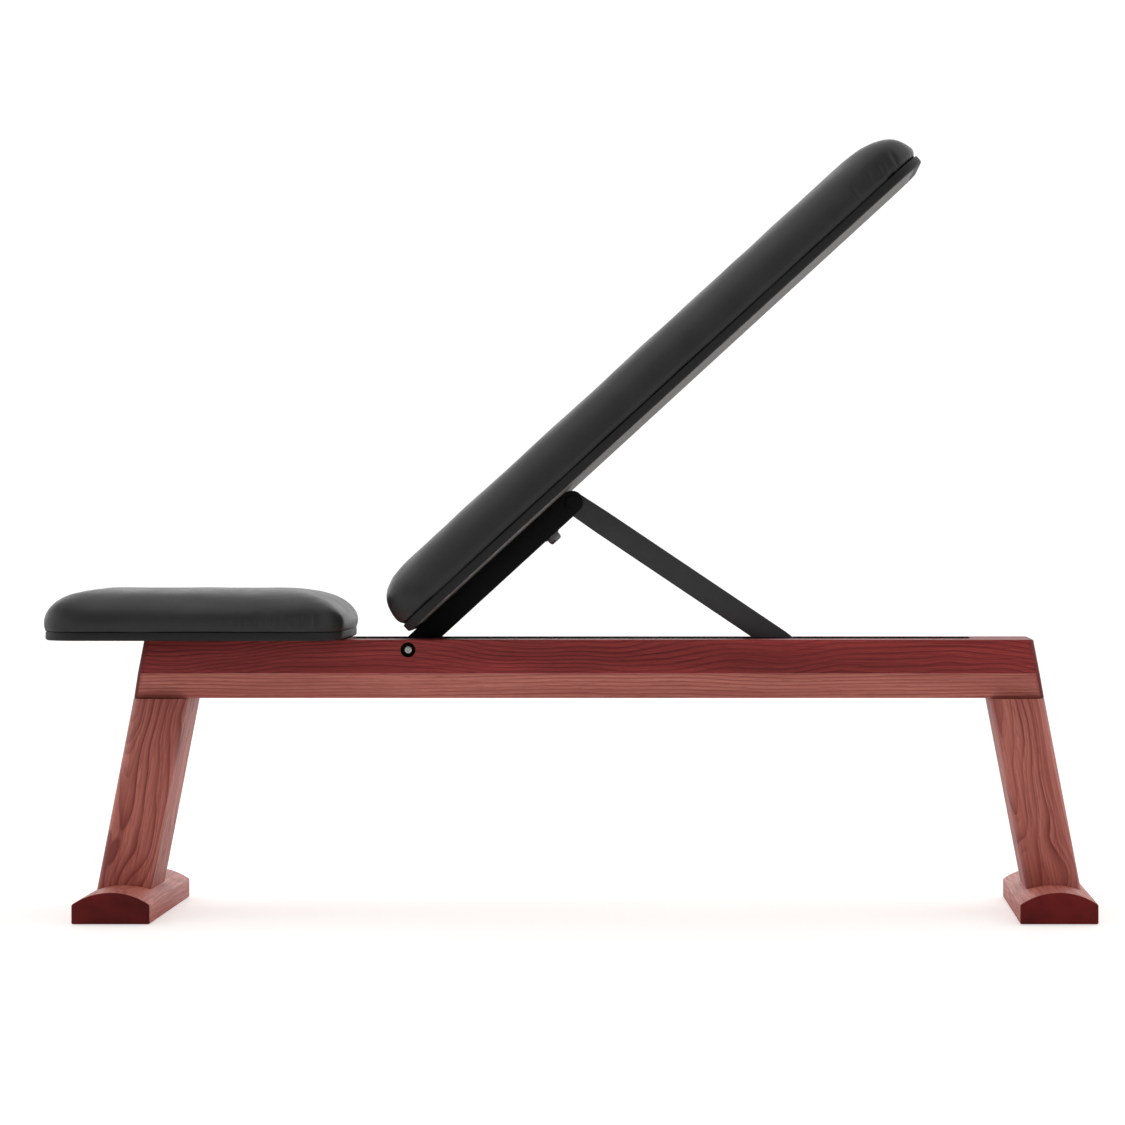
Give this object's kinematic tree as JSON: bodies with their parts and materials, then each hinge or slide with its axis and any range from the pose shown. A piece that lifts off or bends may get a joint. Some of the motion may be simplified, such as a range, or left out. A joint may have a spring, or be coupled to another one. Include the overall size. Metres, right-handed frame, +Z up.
{
  "type": "adjustable weight bench",
  "caption": "Wooden-framed weight bench with a fixed seat pad and a hinged back pad held by a strut in a toothed slot, two splayed legs on cross feet.",
  "frame": {"origin": "on the floor under the middle of the bench's bounding box", "axes": "+X from the seat end to the head end, +Z up, +Y across the bench to its rear side"},
  "size_m": [1.32, 0.4, 0.9833],
  "materials": {
    "stained_ash": "satin",
    "cushion_leather": "satin",
    "board_leather": "satin",
    "liner_cloth": "matte",
    "black_steel": "satin",
    "grey_steel": "satin",
    "bright_steel": "satin",
    "black_nylon": "matte"
  },
  "bodies": {
    "frame": {"beam_rail_front": "stained_ash", "beam_rail_rear": "stained_ash", "beam_block_seat_end": "stained_ash", "beam_block_head_end": "stained_ash", "beam_floor": "stained_ash", "foot_seat_end": "stained_ash", "leg_seat_end": "stained_ash", "leg_bolt_seat_front": "bright_steel", "barrel_nut_seat_front": "bright_steel", "leg_bolt_seat_rear": "bright_steel", "barrel_nut_seat_rear": "bright_steel", "foot_head_end": "stained_ash", "leg_head_end": "stained_ash", "leg_bolt_head_front": "bright_steel", "barrel_nut_head_front": "bright_steel", "leg_bolt_head_rear": "bright_steel", "barrel_nut_head_rear": "bright_steel", "slot_lining_front": "black_steel", "rack_front": "grey_steel", "rack_screw_front_1": "bright_steel", "rack_screw_front_2": "bright_steel", "slot_lining_rear": "black_steel", "rack_rear": "grey_steel", "rack_screw_rear_1": "bright_steel", "rack_screw_rear_2": "bright_steel", "pivot_bolt": "bright_steel", "pivot_sleeve_nut": "bright_steel", "pivot_spacer_front": "black_nylon", "pivot_spacer_rear": "black_nylon", "seat_board": "board_leather", "seat_cushion": "cushion_leather", "seat_bolt_1": "bright_steel", "seat_insert_nut_1": "bright_steel", "seat_bolt_2": "bright_steel", "seat_insert_nut_2": "bright_steel", "seat_bolt_3": "bright_steel", "seat_insert_nut_3": "bright_steel", "seat_bolt_4": "bright_steel", "seat_insert_nut_4": "bright_steel"},
    "back": {"back_board": "board_leather", "back_cushion": "cushion_leather", "back_liner": "liner_cloth", "back_bracket": "black_steel", "pivot_bush": "bright_steel", "back_bolt": "grey_steel", "back_insert_nut_upper": "bright_steel", "back_screw": "bright_steel", "back_insert_nut_lower": "bright_steel", "hinge_pin": "grey_steel", "hinge_retaining_ring": "grey_steel", "hinge_spacer_front": "black_nylon", "hinge_spacer_rear": "black_nylon"},
    "strut": {"strut": "grey_steel", "strut_foot_bar": "grey_steel"}
  },
  "joints": [
    {"name": "back_tilt", "type": "hinge", "parent": "frame", "child": "back", "pos_m": [-0.203, 0, 0.3352], "axis": [0, -1, 0], "range_deg": [-42.5, 27.5]},
    {"name": "strut_swing", "type": "hinge", "parent": "back", "child": "strut", "pos_m": [0.00086, 0, 0.522], "axis": [0, -1, 0], "range_deg": [-48, 74]}
  ],
  "couplings": [
    {"joint": "strut_swing", "follows": "back_tilt", "ratio": -1.7355}
  ]
}
